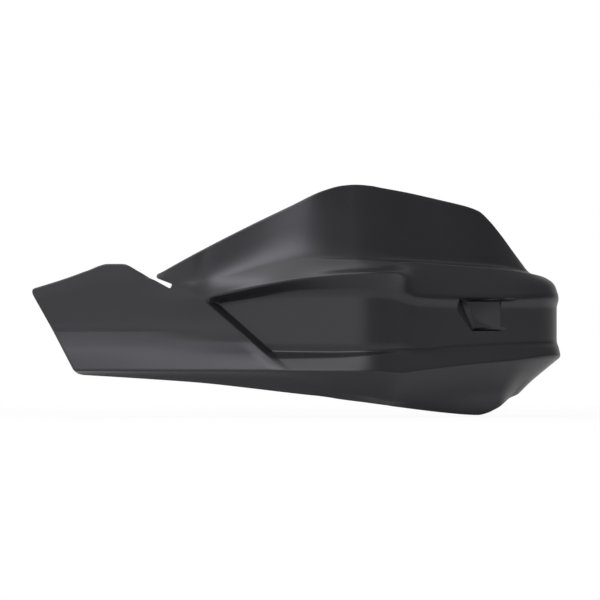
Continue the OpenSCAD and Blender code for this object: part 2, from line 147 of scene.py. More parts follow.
def wide(s):
    """The deflector's own line, which rounds the knee over a greater length."""
    near = range(-(WIDE_SAMPLES // 2), WIDE_SAMPLES // 2 + 1)
    return sum(spot(s + k * KNEE_LEN_TOP / WIDE_SAMPLES) for k in near) / WIDE_SAMPLES


def own(s):
    """How much of the deflector follows its own line: all of it inwards of the knee, none beyond."""
    return 1 - ramp((s - OWN_UNTIL) / OWN_FADE)


def ahead(s):
    """Direction, in plan, in which the section at s is drawn."""
    a = -INNER_SWEEP + TURN * ramp((s + KNEE_AT + AHEAD_LEAD) / AHEAD_LEN)
    wrap = ramp((s - OUTER_LEN + WRAP_LEAD) / (WRAP_LEN + 2 * WRAP_LEAD))
    a = np.radians(a + WRAP_TURN * WRAP_SHARE * wrap)
    return np.stack([np.sin(a), -np.cos(a)], axis=-1)


print("plan line from", spot(-INNER_LEN).round(1), "to", spot(OUTER_LEN + WRAP_LEN).round(1))

# %% [markdown]
# ## The section
# Each section is a bent line through twelve guide points: upper edge, deflector's root,
# ledge, brow, nose of the rim, panel's head, panel's foot, groove, lip, crease, fold of
# the skirt and lower edge. A guide point is a distance in front of the plan line and a
# height. Thirteen sections are given, and a smooth curve carries each guide point from
# one to the next. The curve never overshoots, so flat stretches stay flat.

# %% Name the heights of the section
WALL = 2.8
PANEL_H, RIM_H, DEFLECTOR_H = 26, 16, 41
DEFLECTOR_LEAN, LEDGE_SET, POCKET_DEPTH = 9, 13, 7
LIP_H, BAND_H, CREASE_OUT, SKIRT_H, FLAP_H = 5, 8.5, 7.85, 24, 28
END_LEAN, END_WALL_W = 1.17, 6

UP, LOW = PANEL_H / 2, -PANEL_H / 2
LEDGE = UP + RIM_H
LIP = LOW - LIP_H
CREASE = LIP - BAND_H
SKIRT = CREASE - SKIRT_H
PEAK = LEDGE + DEFLECTOR_H
TIP, NOTCH, END = -1.02, -0.664, -0.53
NOTCH_Z = FLAP_H - 8.2
BACK = PEAK - 3
BED = 2 - POCKET_DEPTH
ROOT = -LEDGE_SET
TOP = ROOT - DEFLECTOR_LEAN
NOSE = CREASE_OUT - 3
LINES = 12
print("heights in mm, from the top:", PEAK, LEDGE, UP, LOW, LIP, CREASE, SKIRT)

# %% Give the two outlines and the sections
# A section is its place, its guide points' distances, and their heights between the two edges.
upper_edge = [
    (TIP, UP + 2.5), (-0.92, FLAP_H - 6.7), (-0.86, FLAP_H - 2.7), (-0.8, FLAP_H + 0.9),
    (-0.76, FLAP_H + 0.9), (-0.715, FLAP_H - 3), (-0.678, NOTCH_Z + 1.5), (-0.671, NOTCH_Z + 1),
    (-0.665, NOTCH_Z + 3.6), (-0.65, NOTCH_Z + 5.1), (-0.6, mix(NOTCH_Z, BACK, 0.22)),
    (-0.5, mix(NOTCH_Z, BACK, 0.435)), (-0.3, mix(NOTCH_Z, BACK, 0.83)), (-0.2, BACK),
    (-0.13, PEAK - 0.3), (-0.08, PEAK + 0.2),
    (0.05, PEAK - 1.3), (0.35, PEAK - 4.9), (0.64, PEAK - 9.5), (0.775, PEAK - 13.1),
    (0.84, PEAK - 17.8), (0.915, PEAK - 24.8), (1.02, LEDGE + 6), (1.08, LEDGE + 0.8),
    (1.16, LEDGE - 4.9), (1.45, LEDGE - 8.5)]
lower_edge = [
    (TIP, CREASE - 2.3), (-0.75, CREASE - 6.3), (-0.53, CREASE - 13.1), (-0.43, CREASE - 14.5),
    (-0.32, CREASE - 15.6), (-0.2, CREASE - 16.6), (-0.1, CREASE - 17.4), (0, CREASE - 18.3),
    (0.2, SKIRT + 3.8), (0.45, SKIRT + 1.8), (0.62, SKIRT + 0.8), (0.7, SKIRT + 0.6),
    (0.78, SKIRT + 1.6), (0.86, SKIRT + 3.8), (0.95, SKIRT + 6.2), (1.15, SKIRT + 10),
    (1.45, SKIRT + 13)]
upright = [(TIP, UP + 3), (-0.8, UP - 4), (1.45, UP - 4)]
lean = [
    (TIP, 0.56), (-0.75, 0.85), (-0.53, END_LEAN), (-0.47, 0.92 * END_LEAN), (-0.4, 0.9),
    (-0.2, 0.44), (-0.05, 0.11), (0, 0.03), (0.05, 0), (1.45, 0)]
sections = [
    (TIP, (0, 0.3, 0.1, 0, -0.3, -0.5, 0.8, 2.2, 3.7, NOSE + 1.5, 2.5, -0.5),
        (UP - 2.5, UP - 5, UP - 8, UP - 11.5, -4.5, LOW + 4, LOW - 0.5, LIP,
         CREASE, CREASE - 1)),
    (-0.75, (0.2, 0.5, 0.2, -0.1, -0.4, -0.6, 0.8, 2.3, 3.8, NOSE + 1.7, 2.2, -1.5),
        (UP + 8, UP + 3.5, UP - 1, UP - 6, -4, LOW + 4, LOW - 1, LIP - 0.5,
         CREASE, CREASE - 2)),
    (-0.57, (-3, -0.8, 0.4, 1, 0.8, 0.2, 1.2, 2.5, 3.7, NOSE + 1.5, 0.5, -4),
        (UP + 8, UP + 4, UP - 0.7, UP - 4.5, -1, LOW + 3, LOW - 1.5, LIP - 1,
         CREASE, CREASE - 4)),
    (END, (-5, -2, 0, 1.3, 1, 0.4, 1, 2, 3, NOSE + 1.3, -0.5, -5),
        (UP + 11, UP + 4, UP - 2, UP - 4.2, 1, LOW + 3, LOW - 2, LIP - 1.5,
         CREASE, CREASE - 5)),
    (END + END_WALL_W / INNER_LEN, (-6, -3, 0, 1.6, BED + 1.4, BED, BED + 0.4, BED - 0.2, 1.8,
        NOSE + 1, -1.5, -6),
        (UP + 12, UP + 5, UP - 0.7, UP - 3.7, UP - 5.4, LOW + 0.5, LOW - 3.5,
         LIP - 2, CREASE, CREASE - 6)),
    (-0.25, (ROOT - 4, ROOT + 4, -3, 2, BED + 1, BED, BED + 0.6, BED - 0.2, -0.4, NOSE, -3, -8),
        (LEDGE + 7, LEDGE - 2, LEDGE - 7.5, UP + 2, UP - 0.5, LOW, LOW - 3.8,
         LIP - 1.5, CREASE, CREASE - 9)),
    (-0.1, (TOP, ROOT + 1, -6, 2, BED + 1, BED, BED + 0.6, BED, -1.2, NOSE - 1.5, -4, -10),
        (LEDGE + 6, LEDGE - 1.3, LEDGE - 5, UP + 2.5, UP - 0.5, LOW, LOW - 3.5,
         LIP - 0.5, CREASE, CREASE - 12)),
    (0.03, (TOP, ROOT, ROOT + 4.5, -0.8, BED + 1.6, BED + 0.8, BED + 1, BED + 0.6, -2.4,
        NOSE - 2.5, -5, -10),
        (LEDGE + 3, LEDGE + 0.4, LEDGE - 4.5, UP + 1, UP - 2, LOW, LOW - 2.8,
         LIP + 0.5, CREASE - 1, CREASE - 14)),
    (0.2, (TOP, ROOT, ROOT + 4.5, -5.5, -1.6, -3, -2.8, -2.8, -2, NOSE - 2.5, -5.5, -9),
        (LEDGE + 1.7, LEDGE + 0.8, LEDGE - 6, UP - 1.5, UP - 5, LOW - 0.5,
         LOW - 2.5, LIP, CREASE + 0.5, CREASE - 14)),
    (0.5, (TOP, ROOT, ROOT + 4.5, -5.5, -1.2, -2.5, -2.5, -2.5, -1.6, NOSE - 3, -7, -9),
        (LEDGE + 0.3, LEDGE - 0.6, LEDGE - 7.5, UP - 2, UP - 6, LOW + 0.6,
         LOW - 0.8, LOW - 2.8, CREASE + 3, CREASE - 13)),
    (0.85, (ROOT - 5, ROOT, ROOT + 4.5, -5, -1.1, -2.5, -2.5, -2.4, -1.6, NOSE - 4, -11, -14),
        (LEDGE - 1.6, LEDGE - 2.5, LEDGE - 9, UP - 2, UP - 6, LOW + 1,
         LOW, LOW - 2, CREASE + 5, CREASE - 10)),
    (1.12, (ROOT - 3.5, ROOT, ROOT + 5, -3.5, -1, -2.5, -2.5, -2.2, -1.4, 0, -17, -25),
        (LEDGE - 5.2, LEDGE - 6, LEDGE - 9.2, UP - 1.5, UP - 6, LOW + 1.4,
         LOW, LOW - 1.5, CREASE + 7, CREASE - 6.5)),
    (1.45, (ROOT - 3, ROOT, ROOT + 5, -3.5, -0.8, -2, -2, -1.8, -1.2, 0, -15, -21),
        (LEDGE - 9.2, LEDGE - 10, LEDGE - 12.5, UP - 2.5, UP - 6.5, LOW + 2,
         LOW + 0.5, LOW - 1, CREASE + 7, CREASE - 5))]
print(len(sections), "sections of", LINES, "guide points")

# %% [markdown]
# ### Curves through the given values
# A cubic through each pair of values, with its slope limited at every value, passes
# through all of them and makes no bumps between them.


# %% Carry values along the guard
def curve(table, u):
    """The table's smooth value at u."""
    x, y = (np.array(c, float) for c in zip(*table))
    step = np.diff(x)
    slope = np.diff(y) / step
    a, b = slope[:-1], slope[1:]
    inner = np.where(a * b > 0, 2 * a * b / np.where(a + b == 0, 1, a + b), 0)
    tangent = np.concatenate([slope[:1], inner, slope[-1:]])
    u = np.asarray(u, float)
    k = np.clip(np.searchsorted(x, u, side="right") - 1, 0, len(step) - 1)
    h = step[k]
    t = np.clip((u - x[k]) / h, 0, 1)
    return ((2 * t**3 - 3 * t**2 + 1) * y[k] + (t**3 - 2 * t**2 + t) * h * tangent[k]
            + (3 * t**2 - 2 * t**3) * y[k + 1] + (t**3 - t**2) * h * tangent[k + 1])


CORNER, CORNER_LOW = 3, 0.6
GUIDE_GAP = 0.3


def corner(u):
    """How far the flap's two corners are rounded off at this place."""
    d = np.clip(CORNER - (u - TIP) * INNER_LEN, 0, CORNER)
    return CORNER - np.sqrt(CORNER**2 - d**2)


def guides(u):
    """The twelve guide points at u, kept in order between the two edges."""
    f = [curve([(q[0], q[1][j]) for q in sections], u) for j in range(LINES)]
    top = curve(upper_edge, u) - corner(u)
    bottom = curve(lower_edge, u) + CORNER_LOW * corner(u)
    z = []
    for j in range(LINES - 2):
        given = curve([(q[0], q[2][j]) for q in sections], u)
        below_top = np.minimum(top - GUIDE_GAP * (j + 1), given)
        z.append(np.maximum(bottom + GUIDE_GAP * (LINES - 2 - j), below_top))
    return np.stack([np.stack(f, axis=-1), np.stack([top, *z, bottom], axis=-1)], axis=-1)


print("height at the knee:", round(float(curve(upper_edge, 0)) - float(curve(lower_edge, 0)), 1), "mm")

# %% [markdown]
# ### Wall, corner radii and rolled edges
# The back of the wall is the front line set back by the wall's thickness with mitred
# corners. Every corner is then replaced by a short arc whose size changes along the
# guard: wide where the form is soft, small where the photograph shows a crisp line. The
# free edges get a small roll, as a mould's parting edge has, so they catch the light.

# %% Turn guide points into a closed ring
# One row for each guide point between the two edges: place and size of its corner's arc.
SOFT = 30
rounding = [
    [(-1, SOFT), (-0.42, SOFT), (-0.1, 9), (0.06, 3), (0.3, 1.6), (1.45, 1.6)],
    [(-1, SOFT), (-0.42, SOFT), (-0.1, 8), (0.04, 1.8), (0.2, 1), (1.45, 1.2)],
    [(-1, SOFT), (-0.62, SOFT), (-0.56, 1), (0, 0.9), (0.2, 3), (1.45, 3)],
    [(-1, SOFT), (-0.57, SOFT), (-0.51, 1.2), (0.05, 1.5), (0.2, 3.5), (1.45, 3)],
    [(-1, SOFT), (-0.57, SOFT), (-0.51, 1.5), (0.2, 1.5), (1.45, 1.5)],
    [(-1, SOFT), (-0.57, SOFT), (-0.51, 0.8), (0.2, 1.2), (1.45, 1.5)],
    [(-1, SOFT), (-0.57, SOFT), (-0.51, 1), (0.2, 1), (1.45, 1)],
    [(-1, SOFT), (-0.57, SOFT), (-0.51, 0.8), (0.2, 1.2), (1.45, 1.5)],
    [(-1, 0.8), (0.1, 0.8), (1.45, 1.8)],
    [(-1, 0.8), (-0.2, 6), (0.3, 3), (1.45, 4)]]
# How much each guide point follows the deflector's own line.
OWN_TURN = (1, 0.7, 0.4, 0, 0, 0, 0, 0, 0, 0, 0, 0.3)
ROLL = 0.8
ROLL_STEPS = 4
ARC_FRONT, ARC_BACK = 6, 3
ARC_SHARE = 0.47
SPANS_FRONT = (22, 4, 6, 6, 6, 14, 3, 3, 6, 7, 7)
SPANS_BACK = (11, 2, 3, 3, 3, 7, 2, 2, 3, 4, 4)


def unit(v):
    return v / np.maximum(np.linalg.norm(v, axis=-1, keepdims=True), 1e-6)


def set_back(g, t):
    """The line g moved back by t, with mitred corners."""
    a = unit(np.diff(g, axis=1))
    d1, d2 = (np.concatenate(p, axis=1) for p in ((a[:, :1], a), (a, a[:, -1:])))
    n1, n2 = (np.stack([d[..., 1], -d[..., 0]], axis=-1) for d in (d1, d2))
    return g + t[:, None, None] * (n1 + n2) / (1 + (n1 * n2).sum(axis=-1, keepdims=True))


def rounded(g, u, arc, spans):
    """The section's line with rounded corners, even steps between them, and each row's own turn."""
    rows, share = [], []
    last, last_share = g[:, 0], OWN_TURN[0]
    for j in range(1, LINES):
        a = g[:, j]
        if j < LINES - 1:
            p = g[:, j]
            r = curve(rounding[j - 1], u)
            la, lb = (np.linalg.norm(g[:, k] - p, axis=1) for k in (j - 1, j + 1))
            a = p + (g[:, j - 1] - p) * np.minimum(r / la, ARC_SHARE)[:, None]
            b = p + (g[:, j + 1] - p) * np.minimum(r / lb, ARC_SHARE)[:, None]
        for k in range(spans[j - 1]):
            t = k / spans[j - 1]
            rows.append(mix(last, a, t))
            share.append(mix(last_share, OWN_TURN[j], t))
        if j < LINES - 1:
            for k in range(arc):
                v = k / arc
                rows.append((1 - v)**2 * a + 2 * v * (1 - v) * p + v * v * b)
                share.append(OWN_TURN[j])
            last, last_share = b, OWN_TURN[j]
    rows.append(g[:, -1])
    share.append(OWN_TURN[-1])
    return np.stack(rows, axis=1), np.array(share)


def rolled(corner_point, along_wall, outward, first):
    """Quarter round over an edge: from the face to the edge, or back down to the other face."""
    centre = corner_point - ROLL * along_wall - ROLL * outward
    turns = [math.pi / 2 * k / ROLL_STEPS for k in range(ROLL_STEPS + 1)]
    turns = turns if first else turns[::-1]
    return [centre + ROLL * (math.cos(a) * outward + math.sin(a) * along_wall) for a in turns]


def pull_in(line, d):
    """Moves a line's two ends back along the wall, to make room for the roll."""
    line = line.copy()
    line[:, 0] -= d * unit(line[:, 0] - line[:, 1])
    line[:, -1] -= d * unit(line[:, -1] - line[:, -2])
    return line


print("rows on the front:", sum(SPANS_FRONT) + ARC_FRONT * (LINES - 2) + 1)

# %% [markdown]
# ## Placing the sections
# A section stands in its own upright plane, except that low points lean along the plan
# line towards the knee. That lean gives the pocket its slanted end and the flap its
# slanted tip. The deflector's points follow their own, wider line round the knee.

# %% Loft the wall
start, finish = TIP * INNER_LEN, 1.4 * OUTER_LEN
close_up = np.array([0, 0.12, 0.3, 0.6, 1, 1.6, 2.4, 3.3])
spacing = (
    (-185.5, -131, 1.8), (-131, -119, 0.4), (-119, -103, 1.0), (-103, -90, 0.4), (-90, -30, 1.5),
    (-30, 47, 1.0), (47, 96, 1.4), (96, finish - 3.8, 1.0))
columns = np.concatenate([
    start + close_up, *(np.arange(*span) for span in spacing), (finish - close_up)[::-1]])
THINNEST = 0.6


def place(p, s, share):
    """Puts a section's points at s, on the plan line or the deflector's own."""
    flat = mix(spot(s), wide(s), (share * own(s))[..., None]) + p[..., :1] * ahead(s)
    return np.concatenate([flat, p[..., 1:]], axis=-1)


def wall_at(s):
    """The wall's thickness along the section, which stands askew to the plan line."""
    a = ahead(s)
    h = heading(s)
    return WALL / np.maximum(THINNEST, np.sin(h) * a[..., 0] - np.cos(h) * a[..., 1])


def loft(s):
    """Rings of the closed wall at the plan lengths s, in the plan line's own frame."""
    u = station(s)
    d = np.clip(ROLL - np.minimum(s - s[0], s[-1] - s), 0, ROLL)
    inset = ROLL - np.sqrt(np.maximum(ROLL**2 - d**2, 0))
    g = guides(u)
    front_line = set_back(g, inset)
    back_line = set_back(g, wall_at(s) - inset)
    normal_top = unit(front_line[:, 0] - back_line[:, 0])
    normal_low = unit(front_line[:, -1] - back_line[:, -1])
    up = unit(front_line[:, 0] - front_line[:, 1])
    down = unit(front_line[:, -1] - front_line[:, -2])
    front, share_front = rounded(pull_in(front_line, ROLL), u, ARC_FRONT, SPANS_FRONT)
    back, share_back = rounded(pull_in(back_line, ROLL), u, ARC_BACK, SPANS_BACK)
    low_roll = rolled(front_line[:, -1], down, normal_low, True)
    low_roll += rolled(back_line[:, -1], down, -normal_low, False)
    top_roll = rolled(back_line[:, 0], up, -normal_top, True)
    top_roll += rolled(front_line[:, 0], up, normal_top, False)
    ring = np.concatenate([front[:, :-1], np.stack(low_roll, axis=1), back[:, ::-1][:, 1:-1],
                           np.stack(top_roll, axis=1)[:, :-1]], axis=1)
    share = np.concatenate([
        share_front[:-1], np.full(len(low_roll), OWN_TURN[-1]), share_back[::-1][1:-1],
        np.full(len(top_roll) - 1, OWN_TURN[0])])
    slant = curve(lean, u)[:, None] * np.maximum(0, curve(upright, u)[:, None] - ring[..., 1])
    where = s[:, None] + slant
    return place(ring, where, np.broadcast_to(share, where.shape))


PANEL_HEAD = 5
BOSS_LEN = 17
OUTER_BOSS, MIDDLE_BOSS, INNER_BOSS = 72, -34, -122


def panel_at(s):
    """The panel's distance in front of the plan line."""
    return curve([(q[0], q[1][PANEL_HEAD]) for q in sections], station(s))


def mid_wall(s, back=0.0):
    """Middle of the wall at the panel's height, in plan."""
    return spot(s) + (panel_at(s) - WALL / 2 - back)[..., None] * ahead(s)


def mouth(s):
    """Centre of the mouth of a boss at s."""
    m = mid_wall(np.array(float(s)))
    return np.array([m[0], m[1] + WALL / 2 + BOSS_LEN, 0])


home = mouth(OUTER_BOSS)
rings = loft(columns) - home
print("loft:", rings.shape, "outer mouth in plan:", home.round(3))


# %% Make a mesh of the rings
def mesh_of(name, points, faces):
    """An object of the given points in millimetres."""
    mesh = bpy.data.meshes.new(name)
    mesh.from_pydata((np.asarray(points) * MM).tolist(), [], faces)
    mesh.validate()
    mesh.update()
    thing = bpy.data.objects.new(name, mesh)
    bpy.context.collection.objects.link(thing)
    return thing


def grid_faces(n, m):
    """Quads between n closed rings of m points."""
    return [(i * m + j, i * m + (j + 1) % m, (i + 1) * m + (j + 1) % m, (i + 1) * m + j)
            for i in range(n - 1) for j in range(m)]


def cap_faces(first, front_count, m):
    """Closes a ring with quads between its front half and its back half."""
    pairs = min(front_count, m - front_count)
    front = np.linspace(0, front_count - 1, pairs).round().astype(int)
    back = m - 1 - np.linspace(0, m - front_count - 1, pairs).round().astype(int)
    return [[first + v for v in [*range(front[k], front[k + 1] + 1), *range(back[k + 1], back[k] + 1)]]
            for k in range(pairs - 1)]


def face_outwards(thing):
    """Merges doubles, turns the faces outwards and returns the volume in cm3 and the open edges."""
    b = bmesh.new()
    b.from_mesh(thing.data)
    bmesh.ops.remove_doubles(b, verts=b.verts, dist=1e-7)
    bmesh.ops.recalc_face_normals(b, faces=b.faces)
    open_edges = sum(1 for e in b.edges if not e.is_manifold)
    volume = b.calc_volume(signed=True)
    if volume < 0:
        bmesh.ops.reverse_faces(b, faces=b.faces)
    b.to_mesh(thing.data)
    b.free()
    return abs(volume) / MM**3 / 1000, open_edges


count, size = rings.shape[:2]
front_rows = sum(SPANS_FRONT) + ARC_FRONT * (LINES - 2) + 1
faces = grid_faces(count, size)
faces += cap_faces(0, front_rows + ROLL_STEPS, size)
faces += [f[::-1] for f in cap_faces((count - 1) * size, front_rows + ROLL_STEPS, size)]
shell = mesh_of("guard_shell", rings.reshape(-1, 3), faces)
print("wall: %.1f cm3, %d open edges" % face_outwards(shell), len(shell.data.polygons), "faces")

# %% [markdown]
# ## The recess in the outer panel
# A trapezoid recess sits in the outer panel. Its head is overhung by the panel, its floor
# comes up to the panel on its outer side, a groove runs under its foot, and a deep
# hollow runs down its slanted side. All of that is crisp, so it is cut with a Boolean.
# The cutters are small convex forms, taken off one by one. Their points are given as a
# length along the panel, a depth into the wall and a height. The hollow is deeper than
# the wall, so a backing stands behind it.


# %% Helpers for solids that are joined or cut
def boolean(thing, tool, operation):
    """Joins the tool to the thing, or cuts it away, and removes the tool."""
    m = thing.modifiers.new("combine", "BOOLEAN")
    m.operation, m.solver, m.object = operation, "EXACT", tool
    with bpy.context.temp_override(object=thing, active_object=thing):
        bpy.ops.object.modifier_apply(modifier=m.name)
    bpy.data.objects.remove(tool)


def convex(name, points):
    """The smallest convex solid that holds the points."""
    thing = mesh_of(name, points, [])
    b = bmesh.new()
    b.from_mesh(thing.data)
    hull = bmesh.ops.convex_hull(b, input=b.verts)
    inside = [v for v in hull["geom_interior"] if isinstance(v, bmesh.types.BMVert)]
    bmesh.ops.delete(b, geom=inside, context="VERTS")
    b.to_mesh(thing.data)
    b.free()
    face_outwards(thing)
    return thing


def union(things):
    for other in things[1:]:
        boolean(things[0], other, "UNION")
    return things[0]


# %% Shape the recess's cutter and its backing
RECESS_AT, RECESS_DEPTH, RECESS_RUN, RECESS_OUT = 50, 1.8, 34, 33
RECESS_HEAD, RECESS_BEND, RECESS_FOOT = 10.4, 4.5, -6.0
HOLLOW_TOP, HOLLOW_LOW = 0.7, 11.4
HOLLOW_DRAFT, BEVEL_TO = 0.3, 0.8
HEAD_BAND, FOOT_BAND = 2.1, 1.9
HEAD_OVER, HEAD_LIP, FOOT_DRAFT = 0.9, 0.3, 0.1
IN_FRONT, BACKING_IN = 3, 0.5
BACKING, BACKING_PAST = WALL * 0.8, 1.4
recess_turn = float(heading(np.array(float(RECESS_AT))))
recess_from = spot(RECESS_AT) + panel_at(np.array(float(RECESS_AT))) * ahead(np.array(float(RECESS_AT)))


def in_panel(points):
    """Points given as length, depth and height, placed on the outer panel."""
    p = np.array(points, float)
    x = recess_from[0] + p[:, 0] * math.cos(recess_turn) - p[:, 1] * math.sin(recess_turn)
    y = recess_from[1] + p[:, 0] * math.sin(recess_turn) + p[:, 1] * math.cos(recess_turn)
    return np.stack([x, y, p[:, 2]], axis=-1) - home


def floor_at(a):
    """Depth of the recess's floor at the length a."""
    return RECESS_DEPTH * (1 - a / RECESS_RUN)


def bed_points():
    """The trapezoid with its bent slanted side, over the panel and at its floor."""
    outline = [(HOLLOW_TOP, RECESS_HEAD), (RECESS_OUT, RECESS_HEAD), (RECESS_OUT, RECESS_FOOT),
               (HOLLOW_LOW, RECESS_FOOT), (HOLLOW_TOP, RECESS_BEND)]
    return [(a, d, z) for a, z in outline for d in (-IN_FRONT, floor_at(a))]


def soft_side(*ends):
    """Chamfer along one straight stretch of the slanted side, between ends given as length and height."""
    section = ((-0.35, -0.02), (-0.35, -0.6), (0.05, 0.4), (2, 0.4), (2, -0.6))
    return [(a + out, d, z) for a, z in ends for out, d in section]


def hollow_slice(z, left, flat_to, to, depth, grow=0.0):
    """One slice of the hollow: a steep side, a flat bottom and a bevel that looks towards the knee."""
    front = BACKING_IN if grow else -IN_FRONT
    return [(left - grow, front, z), (left + HOLLOW_DRAFT - grow, depth + grow, z),
            (left + flat_to, depth + grow, z), (left + to + grow, BEVEL_TO + grow, z),
            (left + to + grow, front, z)]


# Each slice: height, left side, end of the flat bottom, end of the bevel, and depth.
top_slice = (RECESS_HEAD - 0.4, HOLLOW_TOP, 7.9, 10.3, 5.2)
bend_slice = (RECESS_BEND, HOLLOW_TOP, 8.8, 10.8, 3.4)
low_slice = (RECESS_FOOT + 0.4, HOLLOW_LOW, 3.0, 4.1, 2.0)
head_line = RECESS_HEAD - HEAD_BAND + 1
head_top, foot_top = RECESS_HEAD + HEAD_OVER, RECESS_FOOT + FOOT_BAND

# Each groove: lengths, and how far it goes below the recess's floor there.
head, foot = [], []
for a, below in ((HOLLOW_TOP, 1.3), (30, 1.0), (47, -1.0)):
    head += [(a, -IN_FRONT - 1, head_top), (a, -HEAD_LIP + min(below, 0), head_top),
             (a, floor_at(a) + below, head_line), (a, -IN_FRONT - 1, head_line)]
for a, below in ((12.8, 1.4), (30, 1.2), (42, -0.4)):
    foot += [(a, floor_at(a) - FOOT_DRAFT + min(below, 0), foot_top), (a, floor_at(a) + below, RECESS_FOOT),
             (a, -IN_FRONT - 1, RECESS_FOOT), (a, -IN_FRONT - 1, foot_top)]
cutters = [convex("recess_cutter", in_panel(p)) for p in (
    bed_points(),
    soft_side((HOLLOW_TOP, RECESS_HEAD), (HOLLOW_TOP, RECESS_BEND)),
    soft_side((HOLLOW_TOP, RECESS_BEND), (HOLLOW_LOW, RECESS_FOOT)),
    hollow_slice(*top_slice) + hollow_slice(*bend_slice),
    hollow_slice(*bend_slice) + hollow_slice(*low_slice),
    head, foot)]

# The backing reaches past the hollow's two ends; behind the head it is one long bar.
bar = ((2.6, 4.5), (4.2, 7.5), (4.2, 11), (1.4, 12.8), (1, 8))
top_slice = (top_slice[0] + BACKING_PAST, *top_slice[1:])
low_slice = (low_slice[0] - BACKING_PAST, *low_slice[1:])
backing = union([convex("recess_backing", in_panel(p)) for p in (
    hollow_slice(*top_slice, BACKING) + hollow_slice(*bend_slice, BACKING),
    hollow_slice(*bend_slice, BACKING) + hollow_slice(*low_slice, BACKING),
    [(a, d, z) for a in (-1.6, 47) for d, z in bar])])
print("recess:", len(cutters), "cutters, backing:", len(backing.data.polygons), "faces")

# %% [markdown]
# ## The slot
# Under the deflector's tip a tapered slot runs down into the shell, so that the flap can
# flex on its own. Its lower side goes on along the flap's edge, and its upper side rounds
# the deflector's tip. It goes through the wall across the loft's rows, so it is cut too.

# %% Shape the slot's cutter
SLOT_W, SLOT_ANGLE, SLOT_LEN, SLOT_TAPER = 2.6, 29, 7.8, 7.5
SLOT_ROUND, TIP_ROUND, TIP_RISE = 0.8, 1.4, 32
SLOT_BEHIND, SLOT_ABOVE, SLOT_APEX = 5.0, 6, 0.34
CUT_DEPTH = 60


def fillet(points, radii, steps=8):
    """A closed outline with its corners rounded."""
    out = []
    for k, (p, r) in enumerate(zip(points, radii)):
        if r == 0:
            out.append(p)
            continue
        a, b = (unit(np.array(points[j]) - p) for j in (k - 1, (k + 1) % len(points)))
        half = math.acos(float(np.clip(a @ b, -1, 1))) / 2
        centre = p + unit(a + b) * r / math.sin(half)
        ends = [p + v * r / math.tan(half) - centre for v in (a, b)]
        for j in range(steps + 1):
            v = mix(ends[0], ends[1], j / steps)
            out.append(centre + r * v / np.linalg.norm(v))
    return np.array(out)


def prism(name, outline, depth):
    """Straight prism of an outline in x and z, through the wall from front to back."""
    n = len(outline)
    points = [(x, y, z) for y in (-depth, depth) for x, z in outline]
    sides = [(k, (k + 1) % n, n + (k + 1) % n, n + k) for k in range(n)]
    return mesh_of(name, points, sides + [tuple(range(n))[::-1], tuple(range(n, 2 * n))])


def slot_outline():
    """The slot in x and z, with its taper and the round of the deflector's tip."""
    taper = math.tan(math.radians(SLOT_TAPER))
    apex = np.array([-SLOT_LEN * SLOT_APEX, SLOT_W - SLOT_LEN * (1 + SLOT_APEX) * taper])
    rise = math.radians(SLOT_ANGLE + TIP_RISE)
    far = apex + SLOT_ABOVE * np.array([math.cos(rise), math.sin(rise)])
    flat = fillet([np.array([-SLOT_BEHIND, 0]), np.array([SLOT_LEN, 0]), np.array([SLOT_LEN, SLOT_W]), apex,
                   far, np.array([-SLOT_BEHIND, SLOT_ABOVE])],
                  (0, SLOT_ROUND, SLOT_ROUND, TIP_ROUND, 0, 0))
    turn = math.radians(SLOT_ANGLE)
    x = flat[:, 0] * math.cos(turn) + flat[:, 1] * math.sin(turn)
    z = flat[:, 1] * math.cos(turn) - flat[:, 0] * math.sin(turn)
    return np.stack([x + spot(along(np.array(NOTCH)))[0] - home[0], z + NOTCH_Z], axis=-1)


slot = prism("slot_cutter", slot_outline(), CUT_DEPTH)
face_outwards(slot)
print("slot cutter:", len(slot.data.polygons), "faces")

# %% [markdown]
# ## Finishes
# Colours are written as sRGB hex values, as a paint chart gives them, and turned linear
# by one function, because the shader works with linear light.


# %% Helpers for materials
def linear(code):
    """A colour from sRGB hex to linear light."""
    parts_of = [int(code[k:k + 2], 16) / 255 for k in (1, 3, 5)]
    return [c / 12.92 if c <= 0.04045 else ((c + 0.055) / 1.055)**2.4 for c in parts_of] + [1]


def add(tree, kind, settings=None, **inputs):
    """Adds a node, sets its properties, and links or sets its inputs; i0 is the first input."""
    node = tree.nodes.new(kind)
    for key, value in (settings or {}).items():
        setattr(node, key, value)
    for key, value in inputs.items():
        by_place = key[0] == "i" and key[1:].isdigit()
        socket = node.inputs[int(key[1:]) if by_place else key.replace("_", " ")]
        if isinstance(value, bpy.types.Node):
            value = value.outputs[0]
        if isinstance(value, bpy.types.NodeSocket):
            tree.links.new(value, socket)
        else:
            socket.default_value = value
    return node


def material(name):
    m = bpy.data.materials.new(name)
    m.use_nodes = True
    m.node_tree.nodes.clear()
    return m, m.node_tree


def finish_material(tree, shader):
    out = tree.nodes.new("ShaderNodeOutputMaterial")
    tree.links.new(shader.outputs[0], out.inputs["Surface"])


# %% [markdown]
# ### Black polypropylene
# The shell is injection-moulded polypropylene, black right through, from a mould with a
# fine spark-eroded grain. The grain is about 0.1 mm; it is drawn at 0.5 mm so that it
# shows at all. Flow in the mould leaves wide, faint differences in gloss.


# %% Make the plastic
GRAIN, FLOW = 0.5, 45


